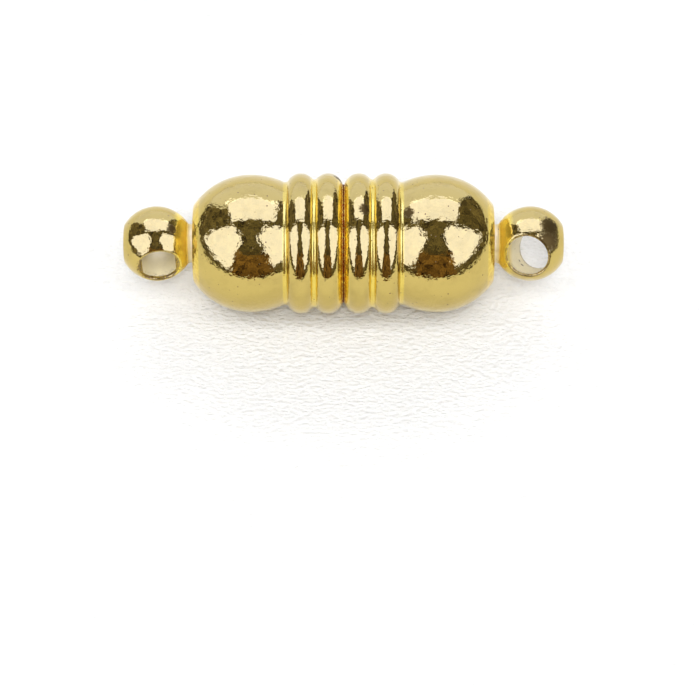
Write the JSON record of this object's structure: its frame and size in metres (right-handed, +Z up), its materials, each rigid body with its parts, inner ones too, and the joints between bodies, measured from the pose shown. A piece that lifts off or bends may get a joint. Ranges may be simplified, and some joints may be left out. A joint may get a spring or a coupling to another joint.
{
  "type": "magnetic clasp",
  "caption": "Gold-plated barrel clasp whose ribbed, domed halves meet face to face and are held by disc magnets, with a cross-drilled ball loop at each end.",
  "frame": {"origin": "on the clasp's axis, in the middle of the seam between the two halves", "axes": "+X along the clasp's axis towards the right half, +Z up as the clasp lies on its ribs, -Y towards the viewer"},
  "size_m": [0.019, 0.006, 0.006],
  "materials": {
    "gold_plate": "bright gold plate over turned brass",
    "magnet_plate": "bright nickel plate over a neodymium disc magnet"
  },
  "bodies": {
    "left_half": {"left_barrel": "gold_plate", "left_magnet": "magnet_plate"},
    "right_half": {"right_barrel": "gold_plate", "right_magnet": "magnet_plate"}
  },
  "joints": [
    {"name": "pull_apart", "type": "slide", "parent": "left_half", "child": "right_half", "axis": [1, 0, 0], "range_m": [0, 0.012]}
  ]
}
